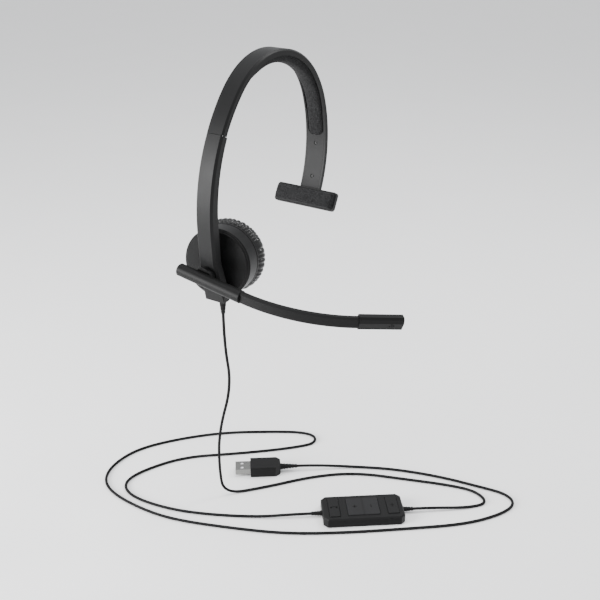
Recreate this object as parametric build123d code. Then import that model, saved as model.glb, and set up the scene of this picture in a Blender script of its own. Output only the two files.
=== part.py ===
from build123d import *
import os
from math import acos, atan2, cos, degrees, hypot, pi, radians, sin, tan

# Single-sided office headset with a boom microphone, an inline remote and a USB plug.
# Millimetres. +Z is up, the wearer faces -Y, the ear cup is on the -X side. The origin is the
# crown seat: the point of the headband pad's underside that rests on the top of the head.

os.makedirs("parts", exist_ok=True)

# ---------------------------------------------------------------- driving dimensions
RUN_CLEARANCE = 0.05      # radial clearance of pins that turn in their bores
SLIDE_CLEARANCE = 0.3     # clearance around the steel strip where it slides in the arm
SEAM_GAP = 0.3            # gap between bodies that pass one another
FIT_CLEARANCE = 0.1       # gap around parts that are set in a pocket

# headband: an arch of three tangent arcs, measured on its outer face
CROWN_RADIUS = 61.3
LEG_RADIUS = 126.0        # arc of the side that carries the ear cup
TEMPLE_RADIUS = 102.0     # arc of the side that carries the temple pad
LEG_JOIN = -47.0          # direction of the arch's normal where the leg arc starts
TEMPLE_JOIN = 71.5        # and where the temple arc starts
SEAM_ANGLE = -62.0        # where the band runs into the arm
TEMPLE_END = 119.2        # end of the temple leg
BAND_WIDTH = 14.2         # where the arm starts
TEMPLE_WIDTH = 17.8       # on the temple leg
BAND_THICKNESS = 4.6
BAND_ROOF = 1.4           # shell left above the pocket for the steel strip
BAND_RIM = 1.4            # side walls of that pocket
LINER_THICKNESS = 1.0
LINER_RECESS = 0.9        # the liner lies this much inside the rims
BAND_BEVEL = 1.2

# steel strip: spring of the band and runner of the length adjustment
STRIP_WIDTH = 10.0
STRIP_THICKNESS = 0.8
STRIP_ARM_END = -93.0
STRIP_TEMPLE_END = 104.0

# headband pad
PAD_WIDTH = 12.8
CROWN_DEPTH = 10.0        # the band and the pad together at the crown
PAD_TIP = 2.6             # thickness of the pad at its ends
PAD_START = -56.0
PAD_END = 89.3
PAD_CORNER = 4.6
PAD_GAP = 0.5             # gap around the pad's end in the temple cover

# temple leg and temple pad
COVER_START = 78.0
COVER_END = 114.7
TRAY_LENGTH = 54.0
TRAY_HEIGHT = 14.6
TRAY_DEPTH = 3.0
TRAY_WALL = 1.0
TEMPLE_PAD_DEPTH = 5.6
TEMPLE_SCREW_ANGLES = (93.3, 108.3)
SCREW_SUNK = 0.8          # their heads lie this much under the cover's face
SCREW_HEAD_RADIUS = 1.4
SCREW_SHANK_RADIUS = 0.9

# arm
ARM_WIDTH = 14.2
ARM_PROUD = 0.2           # the arm stands this much outside the band
ARM_SEAM_DEPTH = 5.6
ARM_DEPTH = 7.1
ARM_END_DEPTH = 6.2
ARM_STRAIGHT_ANGLE = -94.0
ARM_STRAIGHT = 48.0
ARM_WALL = 1.4
ARM_SPLIT = 3.6           # depth of the joint between the two arm shells
ARM_BEVEL = 1.5
TONGUE_FRONT = 12.4       # the lower end reaches this far forward
TONGUE_REAR = 4.4
TONGUE_BEND_FRONT = -124.0    # height at which it starts to widen forwards
TONGUE_BEND_REAR = -135.0     # and to narrow at the rear

# boom
BOOM_AXIS_Z = -132.8
BOOM_PITCH = 8.6          # the tube falls this much towards the front
BARREL_RADIUS = 4.5
BARREL_WALL = 1.3
BARREL_REAR = 18.6        # from the pivot to the rear end
BARREL_FRONT = 32.6
HUB_RADIUS = 6.6
HUB_PROUD = 1.2           # the hub's face outside the arm
KNUCKLE_THICKNESS = 2.6
CLIP_RADIUS = 3.0
CLIP_THICKNESS = 0.5
AXLE_RADIUS = 2.0
WASHER_THICKNESS = 0.5
COLLAR_LENGTH = 3.0
BOOM_BEND_RADIUS = 104.0
BOOM_BEND_ANGLE = 45.0
BOOM_HEIGHT = 8.0
BOOM_THICKNESS = 4.8
SPINE_RADIUS = 0.8
MIC_LENGTH = 30.5
MIC_HEIGHT = 10.0
MIC_THICKNESS = 7.2
MIC_WALL = 1.2
CAPSULE_RADIUS = 2.1
CAPSULE_DEPTH = 2.0
MIC_RIDGE = 0.8           # height of the ridge on the outer face, above the middle
MIC_FACET_DROP = 4.2      # the facet under the ridge: its height
MIC_FACET_IN = 2.0        # and how far it turns in
PORT_FROM_END = 8.0

# ear cup
CUP_CENTRE = (-60.2, 2.5, -129.0)
CUP_YAW = 13.0            # the cup looks a little backwards
CUP_TILT = 4.0            # and a little down
CUP_RADIUS = 25.0
CUP_DEPTH = 14.0
CUP_BACK = 4.8            # the back face stands this far behind the gimbal centre
CUP_WALL = 1.6
CUP_BEVEL = 2.0
POST_OPENING = 4.3        # radius of the hole in the cup's back
CHAMBER_RADIUS = 6.6      # room for the gimbal behind that hole
CHAMBER_DEPTH = 6.4
CHAMBER_WALL = 3.2
CHAMBER_COVER = 1.0
POST_RADIUS = 2.0
POST_END = 2.0            # the post reaches this far past the gimbal centre
GIMBAL_RADIUS = 5.4
GIMBAL_BORE = 3.3
GIMBAL_THICKNESS = 2.6
GIMBAL_PIN_RADIUS = 0.8
TILT_PIN_REACH = 2.2      # the tilt pins reach this far into the chamber's wall
CUP_BOSS_RADIUS = 2.4
CUP_SCREW_CIRCLE = 20.0
BAFFLE_RADIUS = 25.2
BAFFLE_THICKNESS = 1.8
GRILLE_HOLE = 0.9
DRIVER_RADIUS = 13.5
DRIVER_THICKNESS = 1.4
MAGNET_RADIUS = 7.0
MAGNET_THICKNESS = 1.1
CUSHION_PLATE = 0.8
CUSHION_RADIUS = 26.6
CUSHION_HOLE = 13.5
CUSHION_DEPTH = 11.0
CUSHION_ROUND = 5.0

# cord, remote and plug
DESK_Z = -322.0           # surface on which the remote and the plug lie
CORD_DIAMETER = 2.2
RELIEF_RADIUS = 2.0
RELIEF_TIP_RADIUS = 1.45
CORD_EXIT = (-71.6, -8.5)
HEADSET_RELIEF = 9.5
REMOTE_CENTRE = (-26.9, -99.9)
REMOTE_YAW = -51.4
REMOTE_LENGTH = 61.0
REMOTE_WIDTH = 30.0
REMOTE_HEIGHT = 7.2
REMOTE_SPLIT = 3.0
REMOTE_WALL = 1.4
REMOTE_RELIEF = 8.0
REMOTE_CORD_Z = 3.0
KEY_CLEARANCE = 0.3
KEY_HEIGHT = 0.5          # the keys stand this much above the remote's top
KEY_SKIRT = 2.6
CALL_KEY = (-21.7, 8.0, 22.6)       # along the remote, length, width
VOLUME_KEY = (0.2, 24.0, 21.0)
MUTE_KEY = (22.4, 8.4, 20.6)
REMOTE_SCREWS = ((-24.5, -8.5), (-24.5, 8.5), (24.5, -8.5), (24.5, 8.5))
PCB_THICKNESS = 1.0
SWITCH_SIZE = (3.2, 3.2, 0.8)
PLUG_FRONT = (-35.9, 13.1)          # centre of the metal shell's mouth
PLUG_YAW = -52.2
PLUG_AXIS_Z = 4.3
USB_WIDTH = 12.0
USB_HEIGHT = 4.5
USB_WALL = 0.3
USB_EXPOSED = 12.0
USB_INSIDE = 6.0
MOULD_LENGTH = 24.0
MOULD_WIDTH = 16.4
MOULD_HEIGHT = 8.6
PLUG_RELIEF = 13.5


def save(name, shape):
    """Write one node. A group of fasteners is kept as a compound of separate solids."""
    export_step(shape, f"parts/{name}.step")
    return shape


# ---------------------------------------------------------------- the arch
def normal(angle):
    return Vector(sin(radians(angle)), cos(radians(angle)))


CROWN_CENTRE = Vector(0, CROWN_DEPTH - CROWN_RADIUS)
LEG_CENTRE = CROWN_CENTRE + normal(LEG_JOIN) * (CROWN_RADIUS - LEG_RADIUS)
TEMPLE_CENTRE = CROWN_CENTRE + normal(TEMPLE_JOIN) * (CROWN_RADIUS - TEMPLE_RADIUS)


def arch_point(angle, depth):
    """Point of the arch in X and Z, by the direction of its normal and the depth under its outer face."""
    if angle < LEG_JOIN:
        centre, radius = LEG_CENTRE, LEG_RADIUS
    elif angle > TEMPLE_JOIN:
        centre, radius = TEMPLE_CENTRE, TEMPLE_RADIUS
    else:
        centre, radius = CROWN_CENTRE, CROWN_RADIUS
    return centre + normal(angle) * (radius - depth)


def arch_line(start, end, depth_start, depth_end):
    """Arcs that follow the arch from start to end while the depth changes evenly."""
    stops = [start] + [a for a in (LEG_JOIN, TEMPLE_JOIN) if start < a < end] + [end]

    def depth(angle):
        return depth_start + (depth_end - depth_start) * (angle - start) / (end - start)

    arcs = []
    for a, b in zip(stops, stops[1:]):
        middle = (a + b) / 2
        spots = [(a, depth(a)), (middle, depth(middle)), (b, depth(b))]
        arcs.append(ThreePointArc(*[arch_point(*spot) for spot in spots]))
    return arcs


def across(face, width):
    """A face drawn in X and Z, given its width across the band."""
    return extrude(Plane.XZ * face, width / 2, both=True)


def arch_slab(start, end, outer, inner, width):
    """A slab that follows the arch. outer and inner are depths at the start and the end."""
    edges = arch_line(start, end, *outer) + arch_line(start, end, *inner)
    edges += [Line(arch_point(a, outer[i]), arch_point(a, inner[i])) for i, a in enumerate((start, end))]
    return across(make_face(Curve() + edges), width)


def arch_plane(angle, depth):
    """A plane on the arch: x along the arch towards the temple, y across the band, z inwards."""
    spot = arch_point(angle, depth)
    out = normal(angle)
    return Plane(origin=(spot.X, 0, spot.Y), x_dir=(out.Y, 0, -out.X), z_dir=(-out.X, 0, -out.Y))


def band_plan(inset=0.0):
    """Outline of the band seen from above: it widens evenly from the arm to the temple."""
    seam_x = arch_point(SEAM_ANGLE, 0).X
    temple_x = TEMPLE_CENTRE.X + TEMPLE_RADIUS
    reach = LEG_RADIUS
    slope = (TEMPLE_WIDTH - BAND_WIDTH) / 2 / (temple_x - seam_x)
    half = BAND_WIDTH / 2 - inset - slope * (reach + seam_x)
    wide = half + slope * 2 * reach
    corners = [(-reach, -half), (reach, -wide), (reach, wide), (-reach, half)]
    return extrude(make_face(Polyline(*corners, close=True)), 300, both=True)


def outer_edges(shape, width_at_least):
    """The long edges of the arch's outer face, found by their depth and their side."""
    chosen = []
    for edge in shape.edges():
        spot = edge @ 0.5
        if abs(spot.Y) < width_at_least or edge.length < 15:
            continue
        for centre, radius in (
            (CROWN_CENTRE, CROWN_RADIUS), (LEG_CENTRE, LEG_RADIUS), (TEMPLE_CENTRE, TEMPLE_RADIUS)
        ):
            if abs(hypot(spot.X - centre.X, spot.Z - centre.Y) - radius) < 0.02:
                chosen.append(edge)
                break
    return chosen


def temple_seat():
    """Where the tray's flat back touches the hollow inner face of the temple leg."""
    sag = TRAY_HEIGHT ** 2 / 8 / (TEMPLE_RADIUS - BAND_THICKNESS)
    return arch_plane(TEMPLE_END - 1.0, BAND_THICKNESS + sag + FIT_CLEARANCE / 2)


def temple_screws(head, shank, length, open_above=0.0):
    """The two sunk screws of the temple leg's cover, or with larger radii the holes for them."""
    screws = []
    for angle in TEMPLE_SCREW_ANGLES:
        seat = arch_plane(angle, BAND_THICKNESS)
        body = Location((0, 0, -length / 2)) * Cylinder(shank, length)
        seated = Location((0, 0, open_above / 2 - SCREW_SUNK - 0.3)) * Cylinder(head, open_above + 0.6)
        screws.append(seat * (body + seated))
    return screws


def build_headband():
    shell = arch_slab(SEAM_ANGLE, TEMPLE_END, (0, 0), (BAND_THICKNESS, BAND_THICKNESS), 2 * TEMPLE_WIDTH)
    shell = shell & band_plan()
    shell = chamfer(outer_edges(shell, BAND_WIDTH / 2 - 0.5), BAND_BEVEL)
    pocket = arch_slab(
        SEAM_ANGLE - 1, COVER_END, (BAND_ROOF, BAND_ROOF), (BAND_THICKNESS + 1, BAND_THICKNESS + 1), 2 * TEMPLE_WIDTH
    )
    shell = shell - (pocket & band_plan(BAND_RIM))
    for hole in temple_screws(SCREW_SHANK_RADIUS, SCREW_SHANK_RADIUS, 2 * BAND_THICKNESS - 1.6):
        shell = shell - hole
    shell = shell - temple_seat() * Cylinder(SCREW_SHANK_RADIUS, 2 * BAND_THICKNESS - 1.6)
    save("headband_shell", shell)

    strip_top = BAND_ROOF + 0.05
    strip = arch_slab(
        STRIP_ARM_END, STRIP_TEMPLE_END, (strip_top, strip_top),
        (strip_top + STRIP_THICKNESS, strip_top + STRIP_THICKNESS), STRIP_WIDTH,
    )
    for hole in temple_screws(0.1, SCREW_SHANK_RADIUS + FIT_CLEARANCE, 2 * BAND_THICKNESS):
        strip = strip - hole
    save("band_spring", strip)

    liner_low = BAND_THICKNESS - LINER_RECESS
    liner_top = liner_low - LINER_THICKNESS
    lining = band_plan(BAND_RIM + FIT_CLEARANCE)
    liner = arch_slab(
        SEAM_ANGLE + 0.3, COVER_START - 0.1, (liner_top, liner_top), (liner_low, liner_low), 2 * TEMPLE_WIDTH
    )
    save("headband_liner", liner & lining)

    cover = arch_slab(
        COVER_START, COVER_END - 0.1, (liner_top, liner_top), (BAND_THICKNESS, BAND_THICKNESS), 2 * TEMPLE_WIDTH
    )
    cover = (cover & lining) - pad_block(PAD_GAP)
    for hole in temple_screws(SCREW_HEAD_RADIUS + FIT_CLEARANCE, SCREW_SHANK_RADIUS + FIT_CLEARANCE, 3.0, 2.0):
        cover = cover - hole
    save("temple_cover", cover)
    save("temple_screws", Compound(temple_screws(SCREW_HEAD_RADIUS, SCREW_SHANK_RADIUS, 2.6)))


def pad_block(grow=0.0):
    """The headband pad, thickest at the crown and rounded at its ends, or the room for it."""
    seat = BAND_THICKNESS - LINER_RECESS + FIT_CLEARANCE - grow / 5
    tip = seat + PAD_TIP + grow
    full = CROWN_DEPTH + grow
    turn = degrees(grow / TEMPLE_RADIUS)
    start, end = PAD_START - turn, PAD_END + turn
    edges = arch_line(start, end, seat, seat)
    edges += arch_line(start, -20.0, tip, full) + arch_line(-20.0, 15.0, full, full) + arch_line(15.0, end, full, tip)
    edges += [Line(arch_point(a, seat), arch_point(a, tip)) for a in (start, end)]
    block = across(make_face(Curve() + edges), PAD_WIDTH + 2 * grow)
    corners = block.edges().filter_by(
        lambda e: abs((e @ 0).Y - (e @ 1).Y) < 0.01 and abs((e @ 0.5).Y) > PAD_WIDTH / 2 - 0.1 and e.length < 2 * tip
    )
    ends = [arch_point(a, seat) for a in (start, end)]
    corners = [e for e in corners if min(hypot((e @ 0.5).X - p.X, (e @ 0.5).Z - p.Y) for p in ends) < tip]
    return fillet(corners, PAD_CORNER + grow) & band_plan(BAND_RIM + PAD_GAP - grow)


def build_temple_pad():
    seat = temple_seat()
    corner = TRAY_HEIGHT / 6
    outline = RectangleRounded(TRAY_HEIGHT, TRAY_LENGTH, corner)
    hollow = RectangleRounded(TRAY_HEIGHT - 2 * TRAY_WALL, TRAY_LENGTH - 2 * TRAY_WALL, corner - TRAY_WALL)
    tray = extrude(outline, TRAY_DEPTH) - Location((0, 0, TRAY_WALL)) * extrude(hollow, TRAY_DEPTH)
    screw_hole = Cylinder(SCREW_SHANK_RADIUS + FIT_CLEARANCE, 4 * TRAY_WALL)
    tray = tray - screw_hole
    save("temple_tray", seat * tray)

    screw = Location((0, 0, TRAY_WALL + 0.35)) * Cylinder(SCREW_HEAD_RADIUS, 0.6)
    screw = screw + Location((0, 0, 0.2)) * Cylinder(SCREW_SHANK_RADIUS, 2 * TRAY_WALL)
    save("temple_tray_screw", seat * screw)

    cushion_outline = offset(hollow, -FIT_CLEARANCE)
    cushion = Location((0, 0, TRAY_WALL + 0.8)) * extrude(cushion_outline, TEMPLE_PAD_DEPTH)
    crown_edges = cushion.edges().group_by(Axis.Z)[-1]
    save("temple_pad", seat * fillet(crown_edges, 1.6))


# ---------------------------------------------------------------- the arm
def arm_end(depth):
    """End of the arm's straight lower part, at a depth under its outer face."""
    out = normal(ARM_STRAIGHT_ANGLE)
    down = Vector(-out.Y, out.X)
    return arch_point(ARM_STRAIGHT_ANGLE, depth) + down * ARM_STRAIGHT


def arm_slab(start, outer, inner, width, shorter=0.0):
    """A slab that follows the arm from start, near the seam, to its lower end."""
    out = normal(ARM_STRAIGHT_ANGLE)
    back = Vector(out.Y, -out.X) * shorter
    edges = arch_line(ARM_STRAIGHT_ANGLE, start, outer[1], outer[0])
    edges += arch_line(ARM_STRAIGHT_ANGLE, start, inner[1], inner[0])
    low_out, low_in = arm_end(outer[2]) + back, arm_end(inner[2]) + back
    edges += [
        Line(arch_point(start, outer[0]), arch_point(start, inner[0])),
        Line(arch_point(ARM_STRAIGHT_ANGLE, outer[1]), low_out),
        Line(arch_point(ARM_STRAIGHT_ANGLE, inner[1]), low_in),
        Line(low_out, low_in),
    ]
    return across(make_face(Curve() + edges), width)


ARM_TOP = SEAM_ANGLE - degrees(SEAM_GAP / LEG_RADIUS)
arm_down = Vector(-normal(ARM_STRAIGHT_ANGLE).Y, normal(ARM_STRAIGHT_ANGLE).X)


def arm_outer_x(height):
    """X of the arm's outer face at a height on its straight part."""
    low = arm_end(-ARM_PROUD)
    return low.X + (height - low.Y) * arm_down.X / arm_down.Y


def arm_screw_places():
    """Planes on the arm's inner face for its screws: x down the arm, z outwards."""
    out = normal(ARM_STRAIGHT_ANGLE)
    places = []
    for along, side in ((7.0, 0.0), (39.0, 2.6)):
        depth = ARM_DEPTH + (ARM_END_DEPTH - ARM_DEPTH) * along / ARM_STRAIGHT
        spot = arch_point(ARM_STRAIGHT_ANGLE, depth) + arm_down * along
        places.append(Plane(origin=(spot.X, side, spot.Y), x_dir=(0, 1, 0), z_dir=(-out.X, 0, -out.Y)))
    return places


def arm_screws(head, shank, length):
    """The screws that hold the arm's two shells together, driven from the side of the head."""
    screws = []
    for place in arm_screw_places():
        body = Location((0, 0, -length / 2)) * Cylinder(shank, length)
        screws.append(place * (body + Location((0, 0, -0.4)) * Cylinder(head, 0.6)))
    return screws


def arm_inner_x(height):
    """X of the arm's inner face at a height on its straight part."""
    high, low = arch_point(ARM_STRAIGHT_ANGLE, ARM_DEPTH), arm_end(ARM_END_DEPTH)
    return low.X + (height - low.Y) * (high.X - low.X) / (high.Y - low.Y)


HUB_FACE_X = arm_outer_x(BOOM_AXIS_Z + HUB_RADIUS) - HUB_PROUD
HUB_BACK_X = arm_outer_x(BOOM_AXIS_Z) + ARM_SPLIT - 1.0
POST_FLANGE_RADIUS = 2.8
POST_FLANGE = 1.2
POST_BACK_X = arm_inner_x(CUP_CENTRE[2] + POST_FLANGE_RADIUS) - ARM_WALL - SEAM_GAP


def rod_x(radius, start, end, y=0.0, z=0.0):
    """A round bar along X."""
    return Location(((start + end) / 2, y, z), (0, 90, 0)) * Cylinder(radius, abs(end - start))


def on_arm_outside(spot):
    """True for a point in the arm's outer face."""
    if spot.Z > arch_point(ARM_STRAIGHT_ANGLE, 0).Y:
        return abs(hypot(spot.X - LEG_CENTRE.X, spot.Z - LEG_CENTRE.Y) - LEG_RADIUS - ARM_PROUD) < 0.05
    return abs(spot.X - arm_outer_x(spot.Z)) < 0.05


def arm_outline():
    """Outline of the arm seen from the side: it runs forwards and narrows at its lower end."""
    half, top, low = ARM_WIDTH / 2, arch_point(ARM_TOP, 0).Y + 20, arm_end(0).Y
    corners = [
        (half, top), (half, TONGUE_BEND_REAR), (TONGUE_REAR, low - 5),
        (-TONGUE_FRONT, low - 5), (-TONGUE_FRONT, low + 7), (-half, TONGUE_BEND_FRONT), (-half, top),
    ]
    return extrude(Plane.YZ * make_face(Polyline(*corners, close=True)), 300, both=True)


def build_arm():
    full = arm_slab(
        ARM_TOP, (-ARM_PROUD, -ARM_PROUD, -ARM_PROUD), (ARM_SEAM_DEPTH, ARM_DEPTH, ARM_END_DEPTH), 3 * ARM_WIDTH
    )
    full = full & arm_outline()
    sides = full.faces().filter_by(lambda f: f.area > 60 and abs(f.normal_at().Y) > 0.5)
    long_edges = [e for f in sides for e in f.edges() if e.length > 5]
    full = chamfer([e for e in long_edges if on_arm_outside(e @ 0.5)], ARM_BEVEL)
    hollow_top = ARM_TOP - 1.2
    roof = BAND_ROOF - SLIDE_CLEARANCE
    hollow = arm_slab(
        hollow_top, (roof, roof, roof),
        (ARM_SEAM_DEPTH - ARM_WALL, ARM_DEPTH - ARM_WALL, ARM_END_DEPTH - ARM_WALL),
        ARM_WIDTH - 2 * ARM_WALL - 0.6, shorter=ARM_WALL + 5.0,
    )
    slot_floor = BAND_ROOF + 0.05 + STRIP_THICKNESS + SLIDE_CLEARANCE
    slot = arch_slab(
        hollow_top - 1, ARM_TOP + 1, (roof, roof), (slot_floor, slot_floor), STRIP_WIDTH + 2 * SLIDE_CLEARANCE
    )
    upper = arm_slab(ARM_TOP + 1, (-3, -3, -3), (ARM_SPLIT,) * 3, 3 * ARM_WIDTH, shorter=-10)
    outer = (full & upper) - hollow - slot
    inner = (full - upper) - hollow

    for place in arm_screw_places():
        boss = place * (Location((0, 0, -ARM_DEPTH / 2)) * Cylinder(2.0, ARM_DEPTH))
        inner = inner + (boss & (full - upper))
        outer = outer + (boss & (full & upper))
    for hole in arm_screws(SCREW_HEAD_RADIUS, SCREW_SHANK_RADIUS, ARM_DEPTH - 2.5):
        inner = inner - hole
        outer = outer - hole
    cord_bore = Location((*CORD_EXIT, arm_end(0).Y)) * Cylinder(RELIEF_RADIUS + 0.6, 8)
    outer = outer - rod_x(HUB_RADIUS, HUB_FACE_X, HUB_BACK_X, z=BOOM_AXIS_Z) - cord_bore
    inner = inner - rod_x(POST_RADIUS, POST_BACK_X - 1, *CUP_CENTRE) - cord_bore
    save("arm_outer_shell", outer)
    save("arm_inner_shell", inner)
    save("arm_screws", Compound(arm_screws(SCREW_HEAD_RADIUS, SCREW_SHANK_RADIUS, ARM_DEPTH - 2.5)))

    brake_top = slot_floor - SLIDE_CLEARANCE + FIT_CLEARANCE
    brake = arch_slab(-82.0, -77.0, (brake_top, brake_top), (brake_top + 1.6, brake_top + 1.6), 8.0)
    save("slider_brake", brake)


# ---------------------------------------------------------------- the boom
KNUCKLE_X = HUB_FACE_X - WASHER_THICKNESS - RUN_CLEARANCE
BARREL_X = KNUCKLE_X - KNUCKLE_THICKNESS - BARREL_RADIUS + 1.4
CLIP_X = KNUCKLE_X - KNUCKLE_THICKNESS - SEAM_GAP
AXLE_END_X = CLIP_X - CLIP_THICKNESS - 0.5
boom_forward = (0, -cos(radians(BOOM_PITCH)), -sin(radians(BOOM_PITCH)))
boom_up = (0, -sin(radians(BOOM_PITCH)), cos(radians(BOOM_PITCH)))
BOOM_PLANE = Plane(origin=(BARREL_X, 0, BOOM_AXIS_Z), x_dir=boom_forward, z_dir=boom_up)
ARM_ROOT = BARREL_FRONT + COLLAR_LENGTH


def along_boom(radius, start, end):
    """A round bar along the boom's tube, in the boom's own frame."""
    return Location(((start + end) / 2, 0, 0), (0, 90, 0)) * Cylinder(radius, end - start)


def boom_arc(offset_in, start=0.0, end=BOOM_BEND_ANGLE):
    """The bend of the boom, moved inwards by an offset."""
    radius = BOOM_BEND_RADIUS - offset_in
    centre = (ARM_ROOT, BOOM_BEND_RADIUS)
    return CenterArc(centre, radius, start - 90, end - start)


def build_boom_pivot():
    hub = rod_x(HUB_RADIUS, HUB_FACE_X, HUB_BACK_X, z=BOOM_AXIS_Z)
    axle = rod_x(AXLE_RADIUS, AXLE_END_X, HUB_BACK_X - 0.6, z=BOOM_AXIS_Z)
    clip_groove = rod_x(AXLE_RADIUS + 1, CLIP_X, CLIP_X - CLIP_THICKNESS, z=BOOM_AXIS_Z)
    core = rod_x(AXLE_RADIUS - 0.5, CLIP_X, CLIP_X - CLIP_THICKNESS, z=BOOM_AXIS_Z)
    save("boom_hub", hub - axle)
    save("boom_axle", (axle - clip_groove) + core)
    ring = rod_x(CLIP_RADIUS, CLIP_X, CLIP_X - CLIP_THICKNESS, z=BOOM_AXIS_Z) - core
    mouth = Location((CLIP_X, 0, BOOM_AXIS_Z - CLIP_RADIUS)) * Box(2, 1.6, 2 * CLIP_RADIUS - 1.6)
    save("axle_clip", ring - mouth)
    washer = rod_x(HUB_RADIUS - 0.6, HUB_FACE_X - WASHER_THICKNESS, HUB_FACE_X, z=BOOM_AXIS_Z)
    save("friction_washer", washer - axle)


def build_boom():
    barrel = along_boom(BARREL_RADIUS, -BARREL_REAR + 1.5, BARREL_FRONT)
    hollow = along_boom(BARREL_RADIUS - BARREL_WALL, -BARREL_REAR - 1, BARREL_FRONT + 1)
    knuckle_in_x = BARREL_X - KNUCKLE_X
    knuckle_out_x = knuckle_in_x + KNUCKLE_THICKNESS
    knuckle = Location((0, -(knuckle_in_x + knuckle_out_x) / 2, 0), (90, 0, 0)) * Cylinder(
        HUB_RADIUS, KNUCKLE_THICKNESS
    )
    clip_room = Location((0, (BARREL_X - CLIP_X) * -1 - 1.4, 0), (90, 0, 0)) * Cylinder(
        CLIP_RADIUS + SEAM_GAP, 3.4
    )
    axle_bore = Location((0, 4, 0), (90, 0, 0)) * Cylinder(AXLE_RADIUS + RUN_CLEARANCE, 10)
    barrel = (barrel - hollow) + (knuckle - hollow)
    barrel = barrel - clip_room - axle_bore
    save("boom_barrel", BOOM_PLANE * barrel)

    cap = along_boom(BARREL_RADIUS, -BARREL_REAR, -BARREL_REAR + 1.5)
    cap = chamfer(cap.edges().group_by(Axis.X)[0], 0.6)
    cap = cap + along_boom(BARREL_RADIUS - BARREL_WALL, -BARREL_REAR + 1.5, -BARREL_REAR + 4.5)
    save("boom_end_cap", BOOM_PLANE * cap)

    root_radius = BARREL_RADIUS - BARREL_WALL - FIT_CLEARANCE / 2
    collar = along_boom(BARREL_RADIUS, BARREL_FRONT, ARM_ROOT) - along_boom(root_radius, BARREL_FRONT, ARM_ROOT)
    collar = chamfer(collar.edges().group_by(Axis.X)[-1].sort_by(SortBy.LENGTH)[-1:], 0.5)
    save("boom_collar", BOOM_PLANE * collar)

    half = BOOM_THICKNESS / 2
    inside, outside = boom_arc(half), boom_arc(-half)
    outline = Curve() + [inside, outside, Line(inside @ 0, outside @ 0), Line(inside @ 1, outside @ 1)]
    blade = extrude(make_face(outline), BOOM_HEIGHT / 2, both=True)
    blade = chamfer(blade.edges().filter_by(lambda e: e.length > 40), 1.1)
    blade = blade + along_boom(root_radius, BARREL_FRONT - 8, ARM_ROOT)
    spine_path = boom_arc(0)
    spine = sweep(Plane(spine_path @ 0, z_dir=spine_path % 0) * Circle(SPINE_RADIUS), spine_path)
    spine = spine + along_boom(SPINE_RADIUS, BARREL_FRONT - 6, ARM_ROOT)
    tip = Plane(spine_path @ 1, x_dir=spine_path % 1, z_dir=(0, 0, 1))
    tail = tip * (Location((2.5, 0, 0), (0, 90, 0)) * Cylinder(SPINE_RADIUS, 5))
    spine = spine + tail
    save("boom_arm", BOOM_PLANE * (blade - spine))
    save("boom_spine", BOOM_PLANE * spine)
    build_microphone(BOOM_PLANE * tip, spine_in_tip=Location((2.5, 0, 0), (0, 90, 0)) * Cylinder(SPINE_RADIUS, 5))


def port_place():
    """Plane on the lower facet of the microphone's outer face, at its sound port."""
    lean = degrees(atan2(MIC_FACET_IN, MIC_FACET_DROP))
    middle = (
        MIC_LENGTH - PORT_FROM_END, -MIC_THICKNESS / 2 + MIC_FACET_IN / 2, MIC_RIDGE - MIC_FACET_DROP / 2
    )
    return Location(middle, (90 + lean, 0, 0))


def port_slots():
    """A centre hole inside three arc slots."""
    slot_circle, slot_width, depth = 1.55, 0.5, 3.0
    ring = Cylinder(slot_circle + slot_width / 2, depth) - Cylinder(slot_circle - slot_width / 2, depth)
    for turn in range(3):
        bridge = Location((0, 0, 0), (0, 0, 120 * turn + 30)) * (Location((slot_circle, 0, 0)) * Box(2, 0.7, 5))
        ring = ring - bridge
    return Cylinder(0.5, depth) + ring


def mic_section(wall=0.0):
    """Section of the housing: flat on the side of the face, ridged on the outer side."""
    side, top = MIC_THICKNESS / 2 - wall, MIC_HEIGHT / 2 - wall
    corner = 1.4
    low = MIC_RIDGE - MIC_FACET_DROP
    corners = [
        (side, top - corner), (side - corner, top), (corner - side, top), (-side, top - corner), (-side, MIC_RIDGE),
        (MIC_FACET_IN - side, low), (MIC_FACET_IN - side + 0.6, -top), (side - corner, -top), (side, corner - top),
    ]
    return Plane.YZ * make_face(Polyline(*corners, close=True))


def build_microphone(place, spine_in_tip):
    block = extrude(mic_section(), MIC_LENGTH)
    hollow = Location((MIC_WALL, 0, 0)) * extrude(mic_section(MIC_WALL), MIC_LENGTH - 2 * MIC_WALL)
    shell = block - hollow - spine_in_tip
    far_port = Location((MIC_LENGTH - PORT_FROM_END, MIC_THICKNESS / 2, 0), (90, 0, 0))
    shell = shell - port_place() * port_slots() - far_port * port_slots()
    half = Location((MIC_LENGTH / 2, MIC_THICKNESS, 0)) * Box(2 * MIC_LENGTH, 2 * MIC_THICKNESS, 2 * MIC_HEIGHT)
    save("mic_housing_inner", place * (shell & half))
    save("mic_housing_outer", place * (shell - half))
    port_x = MIC_LENGTH - PORT_FROM_END
    inner_face = MIC_THICKNESS / 2 - MIC_WALL
    capsule_y = inner_face - 0.4 - CAPSULE_DEPTH / 2
    lift = 0.3
    capsule = Location((port_x, capsule_y, lift), (90, 0, 0)) * Cylinder(CAPSULE_RADIUS, CAPSULE_DEPTH)
    boot = Location((port_x, capsule_y, lift), (90, 0, 0)) * Cylinder(CAPSULE_RADIUS + 0.5, CAPSULE_DEPTH)
    save("mic_capsule", place * capsule)
    save("mic_boot", place * (boot - capsule))
    mesh = Cylinder(2.1, 0.2)
    outer_mesh = port_place() * Location((0, 0, -MIC_WALL - 0.15)) * mesh
    inner_mesh = Location((port_x, inner_face - 0.15, 0), (90, 0, 0)) * mesh
    save("mic_screens", Compound([place * outer_mesh, place * inner_mesh]))


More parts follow.
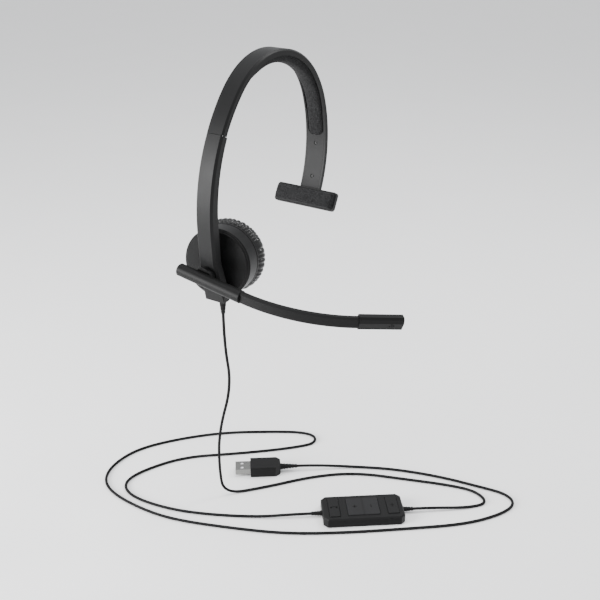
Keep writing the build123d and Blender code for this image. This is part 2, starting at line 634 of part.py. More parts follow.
# ---------------------------------------------------------------- the ear cup
yaw, tilt = radians(CUP_YAW), radians(CUP_TILT)
side_way = (-sin(yaw), cos(yaw), 0)
GIMBAL_PLANE = Plane(origin=CUP_CENTRE, x_dir=side_way, z_dir=(cos(yaw), sin(yaw), 0))
CUP_PLANE = Plane(
    origin=CUP_CENTRE, x_dir=side_way, z_dir=(cos(yaw) * cos(tilt), sin(yaw) * cos(tilt), -sin(tilt))
)
CUP_RIM = CUP_DEPTH - CUP_BACK


def disc(radius, low, high):
    """A disc about the cup's axis, between two heights in front of the gimbal centre."""
    return Location((0, 0, (low + high) / 2)) * Cylinder(radius, high - low)


def build_gimbal():
    swivel_pin = Location(CUP_CENTRE) * Cylinder(GIMBAL_PIN_RADIUS, 2 * GIMBAL_RADIUS - 0.6)
    post = rod_x(POST_RADIUS, POST_BACK_X - POST_FLANGE, CUP_CENTRE[0] + POST_END, *CUP_CENTRE[1:])
    flange = rod_x(POST_FLANGE_RADIUS, POST_BACK_X - POST_FLANGE, POST_BACK_X, *CUP_CENTRE[1:])
    save("cup_post", post + flange - swivel_pin)
    save("swivel_pin", swivel_pin)
    ring = disc(GIMBAL_RADIUS, -GIMBAL_THICKNESS / 2, GIMBAL_THICKNESS / 2)
    ring = ring - disc(GIMBAL_BORE, -GIMBAL_THICKNESS, GIMBAL_THICKNESS)
    ring = ring - Location((0, 0, 0), (90, 0, 0)) * Cylinder(GIMBAL_PIN_RADIUS + RUN_CLEARANCE, 30)
    start, reach = GIMBAL_BORE + 0.4, CHAMBER_RADIUS + TILT_PIN_REACH
    pins = []
    for side in (-1, 1):
        middle = side * (start + reach) / 2
        pins.append(Location((middle, 0, 0), (0, 90, 0)) * Cylinder(GIMBAL_PIN_RADIUS, reach - start))
    for pin in pins:
        ring = ring - pin
    save("gimbal_ring", GIMBAL_PLANE * ring)
    save("tilt_pins", Compound([GIMBAL_PLANE * pin for pin in pins]))


def cup_screws(head, shank, length):
    top = CUP_RIM + BAFFLE_THICKNESS
    screws = []
    for turn in range(3):
        place = Location((0, 0, 0), (0, 0, 90 + 120 * turn)) * Location((CUP_SCREW_CIRCLE, 0, top))
        body = Location((0, 0, -length / 2)) * Cylinder(shank, length)
        screws.append(place * (body + Location((0, 0, -0.4)) * Cylinder(head, 0.8)))
    return screws


def build_cup():
    back = -CUP_BACK
    shell = disc(CUP_RADIUS, back, CUP_RIM)
    shell = chamfer(shell.edges().group_by(Axis.Z)[0], CUP_BEVEL)
    shell = shell - disc(CUP_RADIUS - CUP_WALL, back + CUP_WALL, CUP_RIM)
    shell = shell + (
        disc(CUP_RADIUS - CUP_WALL / 2, back + CUP_WALL / 2, back + CUP_BEVEL + 1)
        - disc(CUP_RADIUS - CUP_BEVEL - 1, back, CUP_RIM)
    )
    chamber_low, chamber_high = back + CUP_WALL, back + CUP_WALL + CHAMBER_DEPTH
    turret = CHAMBER_RADIUS + CHAMBER_WALL
    shell = shell + disc(turret, back, chamber_high)
    for turn in range(3):
        place = Location((0, 0, 0), (0, 0, 90 + 120 * turn)) * Location((CUP_SCREW_CIRCLE, 0, 0))
        shell = shell + place * disc(CUP_BOSS_RADIUS, back + CUP_WALL / 2, CUP_RIM)
    shell = shell - disc(CHAMBER_RADIUS, chamber_low, chamber_high) - disc(POST_OPENING, back - 1, chamber_high)
    shell = shell - Location((0, 0, 0), (0, 90, 0)) * Cylinder(
        GIMBAL_PIN_RADIUS + RUN_CLEARANCE, 2 * (CHAMBER_RADIUS + TILT_PIN_REACH + FIT_CLEARANCE)
    )
    save("gimbal_cover", CUP_PLANE * disc(turret - 0.4, chamber_high, chamber_high + CHAMBER_COVER))
    for hole in cup_screws(SCREW_HEAD_RADIUS, SCREW_SHANK_RADIUS, 8.0):
        shell = shell - hole
    save("cup_back_shell", CUP_PLANE * shell)

    front = CUP_RIM + BAFFLE_THICKNESS
    baffle = disc(BAFFLE_RADIUS, CUP_RIM, front)
    baffle = chamfer(baffle.edges().group_by(Axis.Z)[0], 0.8)
    holes = [(0, 0)]
    for count, circle in ((6, 3.4), (12, 6.8), (18, 10.2)):
        holes += [(circle * cos(2 * pi * k / count), circle * sin(2 * pi * k / count)) for k in range(count)]
    for x, y in holes:
        baffle = baffle - Location((x, y, front)) * Cylinder(GRILLE_HOLE, 3 * BAFFLE_THICKNESS)
    for hole in cup_screws(SCREW_HEAD_RADIUS + FIT_CLEARANCE, SCREW_SHANK_RADIUS + FIT_CLEARANCE, 8.0):
        baffle = baffle - hole
    save("cup_baffle", CUP_PLANE * baffle)
    save("cup_screws", Compound([CUP_PLANE * s for s in cup_screws(SCREW_HEAD_RADIUS, SCREW_SHANK_RADIUS, 8.0)]))

    frame_low = CUP_RIM - DRIVER_THICKNESS
    frame = disc(DRIVER_RADIUS, frame_low, CUP_RIM - 0.05) - disc(DRIVER_RADIUS - 1.2, frame_low + 0.6, CUP_RIM)
    frame = frame - disc(MAGNET_RADIUS, frame_low - 1, CUP_RIM)
    save("driver_frame", CUP_PLANE * frame)
    save("driver_magnet", CUP_PLANE * disc(MAGNET_RADIUS, frame_low - MAGNET_THICKNESS + 0.6, frame_low + 0.6))
    save("driver_diaphragm", CUP_PLANE * disc(DRIVER_RADIUS - 1.3, frame_low + 0.75, CUP_RIM - 0.3))

    plate = disc(CUP_RADIUS, front, front + CUSHION_PLATE) - disc(CUSHION_HOLE + 1, front - 1, front + 2)
    save("cushion_plate", CUP_PLANE * plate)
    save("cup_scrim", CUP_PLANE * disc(CUSHION_HOLE + 0.8, front + 0.05, front + 0.45))
    low = front + CUSHION_PLATE + 0.05
    cushion = disc(CUSHION_RADIUS, low, low + CUSHION_DEPTH) - disc(CUSHION_HOLE, low - 1, low + CUSHION_DEPTH + 1)
    cushion = fillet(cushion.edges().filter_by(GeomType.CIRCLE), CUSHION_ROUND)
    save("ear_cushion", CUP_PLANE * cushion)


# ---------------------------------------------------------------- the cord, the remote and the plug
def heading(angle):
    return Vector(cos(radians(angle)), sin(radians(angle)), 0)


LAY_Z = DESK_Z + CORD_DIAMETER / 2 + 0.05
REMOTE_PLANE = Plane(origin=(*REMOTE_CENTRE, DESK_Z), x_dir=heading(REMOTE_YAW), z_dir=(0, 0, 1))
PLUG_PLANE = Plane(origin=(*PLUG_FRONT, DESK_Z + PLUG_AXIS_Z), x_dir=heading(PLUG_YAW), z_dir=(0, 0, 1))
RELIEF_TIP_Z = arm_end(0).Y - HEADSET_RELIEF
REMOTE_REACH = REMOTE_LENGTH / 2 + REMOTE_RELIEF
PLUG_REACH = USB_EXPOSED + MOULD_LENGTH + PLUG_RELIEF
LEAD = 14.0               # the cord leaves the remote and the plug straight for this length


def relief(length, inside, root_radius, rings):
    """A ribbed strain relief along +X. It starts inside its housing, and its tip meets the cord."""
    body = Location((-inside / 2, 0, 0), (0, 90, 0)) * Cylinder(root_radius, inside)
    cone = Location((length / 2, 0, 0), (0, 90, 0)) * Cone(root_radius, RELIEF_TIP_RADIUS, length)
    pitch = length / (rings + 1)
    for k in range(1, rings + 1):
        groove_radius = root_radius + (RELIEF_TIP_RADIUS - root_radius) * k / (rings + 1)
        band = Cylinder(groove_radius + 1, pitch * 0.4) - Cylinder(groove_radius - 0.3, pitch * 0.4)
        cone = cone - Location((k * pitch, 0, 0), (0, 90, 0)) * band
    return body + cone


def cord_points_upper():
    """Route of the cord from the headset's strain relief to the remote's far end."""
    end = REMOTE_PLANE.from_local_coords(Vector(REMOTE_REACH, 0, REMOTE_CORD_Z))
    lead = REMOTE_PLANE.from_local_coords(Vector(REMOTE_REACH + LEAD, 0, REMOTE_CORD_Z))
    return [
        Vector(*CORD_EXIT, RELIEF_TIP_Z),
        Vector(*CORD_EXIT, -186),
        Vector(-71, -13.5, -218),
        Vector(-69.5, 1, -262),
        Vector(-68, 3.5, -296),
        Vector(-66, 1.5, LAY_Z),
        Vector(-41, -19, LAY_Z),
        Vector(-6, -43, LAY_Z),
        Vector(17, -69, LAY_Z),
        Vector(31, -106, LAY_Z),
        Vector(43, -138, LAY_Z),
        Vector(47, -159, LAY_Z),
        Vector(38, -173, LAY_Z),
        Vector(24, -163, LAY_Z),
        lead,
        end,
    ]


def cord_points_lower():
    """Route of the cord from the remote's near end, round its two loops, to the plug."""
    start = REMOTE_PLANE.from_local_coords(Vector(-REMOTE_REACH, 0, REMOTE_CORD_Z))
    start_lead = REMOTE_PLANE.from_local_coords(Vector(-REMOTE_REACH - LEAD, 0, REMOTE_CORD_Z))
    end = PLUG_PLANE.from_local_coords(Vector(PLUG_REACH, 0, 0))
    end_lead = PLUG_PLANE.from_local_coords(Vector(PLUG_REACH + LEAD, 0, 0))
    laid = [
        (-76, -36), (-97, 3), (-106, 32), (-108, 60), (-99, 76), (-80, 77), (-44, 62), (-16, 30),
        (8, 5), (24, -9), (33, -15), (41, -14), (45, -7), (42, 5), (30, 24), (6, 57),
        (-24, 83), (-55, 101), (-83, 102), (-103, 93), (-113, 75), (-116, 45), (-113, 14), (-98, -26),
        (-80, -66), (-55, -101), (-24, -138), (4, -170), (30, -187), (48, -191), (57, -180), (54, -157),
        (49, -125), (38, -90), (22, -60),
    ]
    return [start, start_lead] + [Vector(x, y, LAY_Z) for x, y in laid] + [end_lead, end]


def cord(name, points):
    """A tube along straight runs joined by arcs, and its length and smallest bend printed."""
    radii = []
    for before, here, after in zip(points, points[1:], points[2:]):
        first, second = here - before, after - here
        turn = acos(max(-1, min(1, first.normalized().dot(second.normalized()))))
        radii.append(0.45 * min(first.length, second.length) / tan(turn / 2))
    path = FilletPolyline(*points, radius=radii)
    tube = sweep(Plane(path @ 0, z_dir=path % 0) * Circle(CORD_DIAMETER / 2), path)
    save(name, tube)
    section = pi * CORD_DIAMETER ** 2 / 4
    print(name, "length", round(path.length, 1), "volume over section", round(tube.volume / section, 1))
    print(name, "bend radii", [round(r, 1) for r in radii])


def remote_slab(low, high, inset=0.0):
    """The remote's outline, an oblong with its corners cut, between two heights."""
    outline = Rectangle(REMOTE_LENGTH - 2 * inset, REMOTE_WIDTH - 2 * inset)
    outline = chamfer(outline.vertices(), 3.2)
    return Location((0, 0, low)) * extrude(outline, high - low)


def key(place, gap, low, high):
    along, length, width = place
    outline = RectangleRounded(length + 2 * gap, width + 2 * gap, 0.9)
    return Location((along, 0, low)) * extrude(outline, high - low)


def build_remote():
    roof = REMOTE_HEIGHT - REMOTE_WALL
    bore = Location((0, 0, REMOTE_CORD_Z), (0, 90, 0)) * Cylinder(RELIEF_RADIUS, REMOTE_LENGTH + 2)
    bottom = remote_slab(0, REMOTE_SPLIT)
    bottom = chamfer(bottom.edges().group_by(Axis.Z)[0], 0.6)
    bottom = bottom - remote_slab(REMOTE_WALL, REMOTE_SPLIT, REMOTE_WALL)
    top = remote_slab(REMOTE_SPLIT, REMOTE_HEIGHT)
    top_edges = top.edges().group_by(Axis.Z)[-1]
    top = chamfer(top_edges, 0.9)
    top = top - remote_slab(REMOTE_SPLIT, roof, REMOTE_WALL)
    board_low = REMOTE_SPLIT - 0.4
    screws = []
    for x, y in REMOTE_SCREWS:
        bottom = bottom + Location((x, y, (REMOTE_WALL + board_low) / 2)) * Cylinder(2.4, board_low - REMOTE_WALL)
        shank = Location((x, y, (board_low + 0.4) / 2)) * Cylinder(SCREW_SHANK_RADIUS, board_low - 0.4)
        head = Location((x, y, 0.6)) * Cylinder(SCREW_HEAD_RADIUS, 0.6)
        access = Location((x, y, 0)) * Cylinder(SCREW_HEAD_RADIUS, 1.8)
        screws.append(shank + head)
        bottom = bottom - access - shank
    save("remote_screws", Compound([REMOTE_PLANE * screw for screw in screws]))
    top = top - bore
    bottom = bottom - bore
    for place in (CALL_KEY, VOLUME_KEY, MUTE_KEY):
        top = top - key(place, KEY_CLEARANCE, roof - 1, REMOTE_HEIGHT + 1)
    save("remote_top_shell", REMOTE_PLANE * top)
    save("remote_bottom_shell", REMOTE_PLANE * bottom)

    board = Location((0, 0, board_low + PCB_THICKNESS / 2)) * Box(54.0, 24.0, PCB_THICKNESS)
    save("remote_board", REMOTE_PLANE * board)
    switch_top = board_low + PCB_THICKNESS
    spots = [(CALL_KEY[0], 0), (VOLUME_KEY[0] - 8, 0), (VOLUME_KEY[0] + 8, 0), (MUTE_KEY[0], 0)]
    switches = [Location((x, y, switch_top + SWITCH_SIZE[2] / 2)) * Box(*SWITCH_SIZE) for x, y in spots]
    save("remote_switches", Compound([REMOTE_PLANE * s for s in switches]))
    skirt_low = REMOTE_HEIGHT - KEY_SKIRT + KEY_HEIGHT
    for name, place in (("call_key", CALL_KEY), ("volume_key", VOLUME_KEY), ("mute_key", MUTE_KEY)):
        cap = key(place, 0, skirt_low, REMOTE_HEIGHT + KEY_HEIGHT)
        cap = chamfer(cap.edges().group_by(Axis.Z)[-1], 0.3)
        save(name, REMOTE_PLANE * cap)
    for name, turn in (("remote_relief_headset", 0), ("remote_relief_plug", 180)):
        place = Location((0, 0, REMOTE_CORD_Z), (0, 0, turn)) * Location((REMOTE_LENGTH / 2, 0, 0))
        save(name, REMOTE_PLANE * place * relief(REMOTE_RELIEF, REMOTE_WALL, RELIEF_RADIUS, 3))


def build_plug():
    full = USB_EXPOSED + USB_INSIDE
    block = Location((full / 2, 0, 0)) * Box(full, USB_WIDTH, USB_HEIGHT)
    room = Location((full / 2, 0, 0)) * Box(full + 1, USB_WIDTH - 2 * USB_WALL, USB_HEIGHT - 2 * USB_WALL)
    shell = block - room
    for side in (-1, 1):
        shell = shell - Location((5.2, side * 2.9, 0)) * Box(2.3, 2.5, 2 * USB_HEIGHT)
    save("usb_shell", PLUG_PLANE * shell)
    tongue = Location((full / 2 + 0.4, 0, 1.0)) * Box(full - 1.2, USB_WIDTH - 2 * USB_WALL - 0.1, 1.8)
    contacts = [Location((6.0, y, 0.02)) * Box(8.0, 1.2, 0.14) for y in (-3.5, -1.2, 1.2, 3.5)]
    save("usb_tongue", PLUG_PLANE * tongue)
    save("usb_contacts", Compound([PLUG_PLANE * c for c in contacts]))
    front = USB_EXPOSED
    body = Location((front + MOULD_LENGTH / 2, 0, 0)) * Box(MOULD_LENGTH, MOULD_WIDTH, MOULD_HEIGHT)
    far_corners = body.edges().filter_by(Axis.Z).group_by(Axis.X)[-1]
    body = chamfer(far_corners, 4.0)
    body = fillet(body.edges().filter_by(Axis.X), 1.2)
    body = body - Location((front + USB_INSIDE / 2, 0, 0)) * Box(USB_INSIDE, USB_WIDTH, USB_HEIGHT)
    body = body - Location((front + MOULD_LENGTH - 1.0, 0, 0), (0, 90, 0)) * Cylinder(2.6, 2.0)
    save("plug_overmould", PLUG_PLANE * body)
    place = Location((front + MOULD_LENGTH, 0, 0))
    save("plug_relief", PLUG_PLANE * place * relief(PLUG_RELIEF, 2.0, 2.6, 5))


def build_cord():
    place = Plane(origin=(*CORD_EXIT, arm_end(0).Y), x_dir=(0, 0, -1), z_dir=(1, 0, 0))
    save("headset_relief", place * relief(HEADSET_RELIEF, 3.0, RELIEF_RADIUS + 0.6, 3))
    cord("cord_headset_remote", cord_points_upper())
    cord("cord_remote_plug", cord_points_lower())


build_headband()
save("headband_pad", pad_block())
build_temple_pad()
build_arm()
build_boom_pivot()
build_boom()
build_gimbal()
build_cup()
build_remote()
build_plug()
build_cord()
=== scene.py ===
import math
import random

import bmesh
import bpy
from mathutils import Matrix, Vector


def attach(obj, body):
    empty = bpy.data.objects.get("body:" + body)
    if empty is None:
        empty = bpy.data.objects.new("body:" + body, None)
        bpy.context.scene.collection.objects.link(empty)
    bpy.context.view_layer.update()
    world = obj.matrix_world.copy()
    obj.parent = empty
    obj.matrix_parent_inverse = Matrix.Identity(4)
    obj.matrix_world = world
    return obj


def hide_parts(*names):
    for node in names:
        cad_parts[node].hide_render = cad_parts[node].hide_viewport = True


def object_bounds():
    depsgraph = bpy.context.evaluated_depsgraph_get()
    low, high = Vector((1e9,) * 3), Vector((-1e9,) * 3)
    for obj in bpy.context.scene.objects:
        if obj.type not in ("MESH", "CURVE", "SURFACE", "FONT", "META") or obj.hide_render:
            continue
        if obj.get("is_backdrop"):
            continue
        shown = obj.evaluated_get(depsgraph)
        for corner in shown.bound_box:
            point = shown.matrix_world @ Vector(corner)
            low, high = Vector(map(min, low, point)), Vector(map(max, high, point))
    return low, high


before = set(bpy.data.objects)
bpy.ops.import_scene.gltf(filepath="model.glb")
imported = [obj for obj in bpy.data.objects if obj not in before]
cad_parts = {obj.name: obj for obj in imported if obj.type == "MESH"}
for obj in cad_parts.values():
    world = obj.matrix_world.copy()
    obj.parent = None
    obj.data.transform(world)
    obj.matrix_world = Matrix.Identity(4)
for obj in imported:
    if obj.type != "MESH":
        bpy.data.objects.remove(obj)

cad_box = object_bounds()
random.seed(7)

# ------------------------------------------------------------------ the room
# A pale, matt surface carries the remote and the plug. The camera stands in front of the ear-cup
# side and looks a little down. Soft lamps light the headset from the rear left, the right and above.

CAMERA_PLACE = (-0.5691, -0.4093, 0.1322)
CAMERA_BACK = (-0.757, -0.511, 0.407)      # from what it looks at towards the camera
camera = bpy.data.objects.new("camera", bpy.data.cameras.new("camera"))
bpy.context.collection.objects.link(camera)
camera.data.lens = 60.0
camera.data.sensor_width = 36.0
camera.location = CAMERA_PLACE
camera.rotation_mode = "QUATERNION"
camera.rotation_quaternion = Vector(CAMERA_BACK).to_track_quat("Z", "Y")
bpy.context.scene.camera = camera


class Wire:
    """An output in a finish's node tree. Sums and products of wires add Math nodes to that tree."""

    def __init__(self, finish, socket):
        self.finish = finish
        self.socket = socket

    def __add__(self, other):
        return self.finish.maths("ADD", self, other)

    def __sub__(self, other):
        return self.finish.maths("SUBTRACT", self, other)

    def __rsub__(self, other):
        return self.finish.maths("SUBTRACT", other, self)

    def __mul__(self, other):
        return self.finish.maths("MULTIPLY", self, other)

    __radd__ = __add__
    __rmul__ = __mul__


class Finish:
    """A material: constants on its shader, and nodes for what varies over the surface."""

    def __init__(self, name, constants):
        self.material = bpy.data.materials.new(name)
        self.material.use_nodes = True
        self.tree = self.material.node_tree
        self.shader = self.tree.nodes["Principled BSDF"]
        for socket, value in constants.items():
            self.shader.inputs[socket].default_value = value

    def node(self, kind, settings, sockets, out=0):
        """Add a node: settings first, then values or wires for its sockets. Returns one output."""
        made = self.tree.nodes.new(kind)
        for setting, value in settings.items():
            setattr(made, setting, value)
        for socket, value in sockets.items():
            if isinstance(value, Wire):
                self.tree.links.new(value.socket, made.inputs[socket])
            else:
                made.inputs[socket].default_value = value
        return Wire(self, made.outputs[out])

    def maths(self, operation, *values):
        """A Math node on wires and numbers."""
        return self.node("ShaderNodeMath", {"operation": operation}, dict(enumerate(values)))

    def place(self):
        """Where a point of the surface is on its piece, in metres."""
        return self.node("ShaderNodeTexCoord", {}, {}, "Object")

    def noise(self, place, per_metre, detail=2.0, rough=0.5):
        """A cloudy pattern from 0 to 1, with about this many clouds in a metre."""
        return self.node("ShaderNodeTexNoise", {}, {
            "Vector": place, "Scale": per_metre, "Detail": detail, "Roughness": rough,
        })

    def ramp(self, wire, low, high):
        """0 below low, 1 above high."""
        return self.node("ShaderNodeMapRange", {}, {0: wire, 1: low, 2: high})

    def tint(self, share, first, second):
        """A colour between two, by the share of the second."""
        return self.node(
            "ShaderNodeMix", {"data_type": "RGBA"}, {0: share, 6: (*first, 1), 7: (*second, 1)}, 2
        )

    def feed(self, socket, wire):
        """Let a wire set one of the shader's sockets."""
        self.tree.links.new(wire.socket, self.shader.inputs[socket])

    def emboss(self, height, depth, strength=1.0):
        """Raise the surface by height times depth, in metres."""
        self.feed("Normal", self.node(
            "ShaderNodeBump", {}, {"Height": height, "Distance": depth, "Strength": strength}
        ))

    def onto(self, *nodes):
        """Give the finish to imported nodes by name."""
        for name in nodes:
            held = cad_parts[name].data.materials
            held.clear()
            held.append(self.material)


HAIR = 0.00005      # what lies on the desk stays this far clear of it
DESK_HALF_WIDTH = 6.0
table = bmesh.new()
bmesh.ops.create_grid(table, x_segments=1, y_segments=1, size=DESK_HALF_WIDTH)
bmesh.ops.translate(table, vec=(0, 0, cad_box[0].z - HAIR), verts=table.verts)
table_mesh = bpy.data.meshes.new("desk")
table.to_mesh(table_mesh)
table.free()
desk = bpy.data.objects.new("desk", table_mesh)
bpy.context.collection.objects.link(desk)
desk_paint = Finish("desk_paint", {"Roughness": 0.6, "Specular IOR Level": 0.3})
mottle = desk_paint.noise(desk_paint.place(), 9.0, 3.0)
desk_paint.feed("Base Color", desk_paint.tint(mottle, (0.93, 0.93, 0.93), (0.96, 0.96, 0.96)))
desk.data.materials.append(desk_paint.material)
desk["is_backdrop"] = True

sky = bpy.data.worlds.new("studio")
sky.use_nodes = True
sky.node_tree.nodes["Background"].inputs["Color"].default_value = (0.97, 0.98, 1.0, 1)
sky.node_tree.nodes["Background"].inputs["Strength"].default_value = 1.1
bpy.context.scene.world = sky

LAMPS = (
    # name, place, aimed at, size, watts
    ("lamp_rear_left", (-0.82, 0.50, 0.06), (-0.05, 0.0, -0.06), 0.6, 20.0),
    ("lamp_right", (0.55, -0.35, 0.55), (-0.03, 0.0, -0.12), 0.25, 4.0),
    ("lamp_above", (-0.05, 0.0, 1.30), (0.0, 0.0, -0.3), 1.2, 15.0),
)
for name, place, aim, size, watts in LAMPS:
    lamp = bpy.data.objects.new(name, bpy.data.lights.new(name, "AREA"))
    bpy.context.collection.objects.link(lamp)
    lamp.data.shape = "DISK"
    lamp.data.size = size
    lamp.data.energy = watts
    lamp.location = place
    lamp.rotation_mode = "QUATERNION"
    lamp.rotation_quaternion = (Vector(place) - Vector(aim)).to_track_quat("Z", "Y")


# ------------------------------------------------------------------ the cords
# Thin flexible cord with a satin black jacket over stranded wire. One length hangs from the arm
# and runs over the desk to the remote, and the other runs in two loops to the plug.

CORD = 0.0022       # its diameter
DESK = -0.322       # height of the desk, below the crown seat
LAY = DESK + CORD / 2 + HAIR
INTO_REMOTE = DESK + 0.0030
INTO_PLUG = DESK + 0.0043
upper_route = [
    (-0.0716, -0.0085, -0.1615977), (-0.0716, -0.0085, -0.1860), (-0.0710, -0.0135, -0.2180),
    (-0.0695, 0.0010, -0.2620), (-0.0680, 0.0035, -0.2960), (-0.0660, 0.0015, LAY),
    (-0.0410, -0.0190, LAY), (-0.0060, -0.0430, LAY), (0.0170, -0.0690, LAY),
    (0.0310, -0.1060, LAY), (0.0430, -0.1380, LAY), (0.0470, -0.1590, LAY),
    (0.0380, -0.1730, LAY), (0.0240, -0.1630, LAY),
    (0.0058534, -0.1409295, INTO_REMOTE), (-0.0028808, -0.1299882, INTO_REMOTE),
]
lower_route = [(-0.0509192, -0.0698118, INTO_REMOTE), (-0.0596534, -0.0588705, INTO_REMOTE)]
lower_route += [(x / 1000, y / 1000, LAY) for x, y in (
    (-76, -36), (-97, 3), (-106, 32), (-108, 60), (-99, 76), (-80, 77), (-44, 62), (-16, 30),
    (8, 5), (24, -9), (33, -15), (41, -14), (45, -7), (42, 5), (30, 24), (6, 57),
    (-24, 83), (-55, 101), (-83, 102), (-103, 93), (-113, 75), (-116, 45), (-113, 14),
    (-98, -26), (-80, -66), (-55, -101), (-24, -138), (4, -170), (30, -187), (48, -191),
    (57, -180), (54, -157), (49, -125), (38, -90), (22, -60),
)]
lower_route += [(0.003020, -0.037075, INTO_PLUG), (-0.005561, -0.026013, INTO_PLUG)]

jacket = Finish("cord_jacket", {"Specular IOR Level": 0.08})
where = jacket.place()
scuff = jacket.noise(where, 160.0, 3.0)
jacket.feed("Roughness", 0.55 + 0.16 * scuff)
jacket.feed("Base Color", jacket.tint(scuff, (0.006, 0.006, 0.006), (0.012, 0.012, 0.013)))
jacket.emboss(jacket.noise(where, 2600.0, 1.0), 0.00002, 0.5)


def lay_cord(name, route, node):
    """A round cord drawn smoothly along its route, in place of its plain packed tube."""
    curve = bpy.data.curves.new(name, "CURVE")
    curve.dimensions = "3D"
    curve.bevel_depth = CORD / 2
    curve.bevel_resolution = 4
    curve.resolution_u = 12
    curve.use_fill_caps = True
    spline = curve.splines.new("NURBS")
    spline.points.add(len(route) - 1)
    for point, spot in zip(spline.points, route):
        point.co = (*spot, 1.0)
    spline.order_u = 3
    spline.use_endpoint_u = True
    curve.materials.append(jacket.material)
    laid = bpy.data.objects.new(name, curve)
    bpy.context.collection.objects.link(laid)
    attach(laid, "arm")
    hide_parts(node)
    return laid


upper_cord = lay_cord("upper_cord", upper_route, "cord_headset_remote")
lower_cord = lay_cord("lower_cord", lower_route, "cord_remote_plug")

# ------------------------------------------------------------------ moulded plastic
# Headband, arm, hub, boom tube, microphone, ear cup, remote and plug are moulded in black
# plastic with a fine spark-eroded grain. Handling has polished it a little in patches.


def moulded(name, shade, rough, grain, gloss=0.15, coat=0.0):
    """Grained plastic: a grey shade, a roughness, the grain's depth, and how much it shines."""
    finish = Finish(name, {
        "Specular IOR Level": gloss, "Coat Weight": coat, "Coat Roughness": 0.3,
    })
    where = finish.place()
    handling = finish.noise(where, 55.0, 4.0, 0.6)
    speck = finish.noise(where, 900.0, 2.0)
    finish.feed("Roughness", rough + 0.12 * handling + 0.06 * speck - 0.06)
    dark = tuple(shade * k for k in (0.82, 0.82, 0.84))
    pale = tuple(shade * k for k in (1.25, 1.25, 1.28))
    finish.feed("Base Color", finish.tint(0.6 * handling + 0.4 * speck, dark, pale))
    finish.emboss(finish.noise(where, 3200.0, 2.0, 0.6), grain, 0.6)
    return finish


COARSE, FINE, POLISHED = 0.00003, 0.00002, 0.00001
moulded("band_plastic", 0.0060, 0.42, COARSE).onto(
    "headband_shell", "arm_outer_shell", "arm_inner_shell"
)
moulded("liner_plastic", 0.0090, 0.46, COARSE).onto(
    "headband_liner", "temple_cover", "temple_tray"
)
moulded("boom_plastic", 0.0030, 0.46, FINE).onto(
    "boom_hub", "boom_barrel", "boom_end_cap", "boom_collar", "mic_housing_inner",
    "mic_housing_outer",
)
moulded("boom_rubber", 0.0045, 0.48, COARSE).onto("boom_arm", "mic_boot")
moulded("cup_plastic", 0.0035, 0.40, COARSE).onto(
    "cup_back_shell", "cup_baffle", "gimbal_ring", "gimbal_cover", "cup_post",
    "cushion_plate", "driver_frame",
)
moulded("remote_plastic", 0.0060, 0.44, COARSE).onto("remote_top_shell", "remote_bottom_shell")
moulded("key_plastic", 0.0070, 0.40, FINE).onto("call_key", "mute_key")
moulded("plug_plastic", 0.0050, 0.44, COARSE).onto("plug_overmould")
moulded("relief_rubber", 0.0050, 0.5, COARSE).onto(
    "headset_relief", "remote_relief_headset", "remote_relief_plug", "plug_relief"
)
moulded("inner_nylon", 0.30, 0.5, COARSE).onto("slider_brake", "friction_washer")

# ------------------------------------------------------------------ steel, nickel and gold
# The band's spring and the screws are blackened steel, and the pins are bright turned steel. The
# plug's shell is folded from nickel-plated sheet, rolled along its length, over gold contacts.
# Inside it, the tongue is pale plastic, and the remote's board is green resin.


def drawn_metal(name, colour, metal, rough, along, lines):
    """Metal with fine rolling lines: a noise squeezed hard across the rolling direction."""
    finish = Finish(name, {"Specular IOR Level": 0.5, "Metallic": metal})
    where = finish.place()
    turned = finish.node("ShaderNodeMapping", {}, {
        "Vector": where, "Rotation": (0, 0, along), "Scale": (12, 260, 260),
    })
    rolling = finish.noise(turned, lines, 3.0, 0.6)
    stain = finish.noise(where, 140.0, 3.0)
    finish.feed("Roughness", rough + 0.10 * rolling + 0.12 * stain - 0.08)
    worn = tuple(k * 0.72 for k in colour)
    finish.feed("Base Color", finish.tint(0.5 * rolling + 0.5 * stain, worn, colour))
    finish.emboss(rolling, 0.000006, 0.4)
    return finish


PLUG_TURN = math.radians(52.2)
drawn_metal("black_steel", (0.008, 0.008, 0.008), 0.2, 0.55, 0.0, 6.0).onto(
    "band_spring", "temple_screws", "temple_tray_screw", "arm_screws", "cup_screws", "remote_screws"
)
drawn_metal("pin_steel", (0.56, 0.56, 0.57), 1.0, 0.30, 0.0, 8.0).onto(
    "boom_axle", "axle_clip", "swivel_pin", "tilt_pins", "boom_spine", "driver_magnet",
    "mic_capsule", "remote_switches",
)
drawn_metal("plug_nickel", (0.27, 0.27, 0.26), 1.0, 0.26, PLUG_TURN, 10.0).onto("usb_shell")
drawn_metal("contact_gold", (0.80, 0.60, 0.24), 1.0, 0.25, PLUG_TURN, 8.0).onto("usb_contacts")
moulded("tongue_plastic", 0.62, 0.42, POLISHED).onto("usb_tongue")
moulded("driver_film", 0.45, 0.3, POLISHED).onto("driver_diaphragm")

board = moulded("board_resin", 0.05, 0.3, POLISHED, 0.4, 0.3)
board.feed("Base Color", board.tint(
    board.noise(board.place(), 300.0), (0.01, 0.09, 0.03), (0.02, 0.15, 0.05)
))
board.onto("remote_board")

# ------------------------------------------------------------------ the volume rocker
# One moulded plate that rocks on a low rib under its middle, so its top is two shallow slopes
# which meet in a crease.

